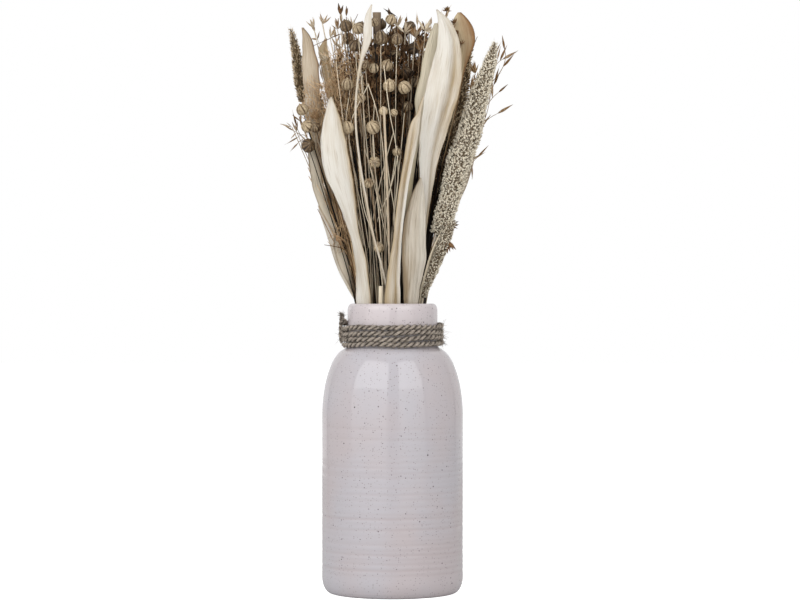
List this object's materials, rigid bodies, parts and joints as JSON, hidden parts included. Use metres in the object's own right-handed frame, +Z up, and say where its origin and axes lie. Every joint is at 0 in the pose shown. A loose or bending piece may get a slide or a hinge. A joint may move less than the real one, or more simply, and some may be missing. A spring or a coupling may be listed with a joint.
{
  "type": "dried flowers in vase",
  "caption": "Tall bouquet of dried leaves, flax pods, foxtails and oats standing in a round-shouldered glazed stoneware vase with jute twine wound round its neck.",
  "frame": {"origin": "centre of the vase's flat foot, on the surface it stands on", "axes": "+Z up along the vase's axis, -Y towards the side the picture shows, +X to that view's right"},
  "size_m": [0.1596, 0.0955, 0.3962],
  "materials": {
    "glaze": "gloss",
    "jute": "matte",
    "cream_leaf": "matte",
    "tan_leaf": "matte",
    "flax": "matte",
    "foxtail": "matte",
    "oat": "matte",
    "brown_twig": "matte"
  },
  "bodies": {
    "root": {"cut_stick": "cream_leaf", "flax_back_left": "flax", "flax_back_middle": "flax", "flax_back_right": "flax", "flax_front_left": "flax", "flax_front_middle": "flax", "flax_front_right": "flax", "flax_left": "flax", "flax_middle": "flax", "flax_middle_right": "flax", "foxtail_back_left": "foxtail", "foxtail_back_right": "foxtail", "foxtail_big": "foxtail", "foxtail_dark": "brown_twig", "foxtail_left": "brown_twig", "foxtail_low_right": "foxtail", "leaf_back_left": "cream_leaf", "leaf_back_outer": "tan_leaf", "leaf_back_right": "cream_leaf", "leaf_big_left": "cream_leaf", "leaf_big_right": "cream_leaf", "leaf_far_left": "tan_leaf", "leaf_folded_front": "cream_leaf", "leaf_grey_right": "cream_leaf", "leaf_inner_left": "tan_leaf", "leaf_low_right": "cream_leaf", "leaf_outer_left": "tan_leaf", "leaf_pale_left": "cream_leaf", "leaf_tan_right": "tan_leaf", "leaf_thin_centre": "cream_leaf", "oats_back": "oat", "oats_left": "oat", "oats_right": "oat", "oats_top_left": "oat", "oats_top_right": "oat", "plume_brown": "brown_twig", "reed": "cream_leaf", "strip_brown": "tan_leaf", "twigs_brown_left": "brown_twig", "twigs_brown_middle": "brown_twig", "twine": "jute", "vase": "glaze"}
  },
  "joints": []
}
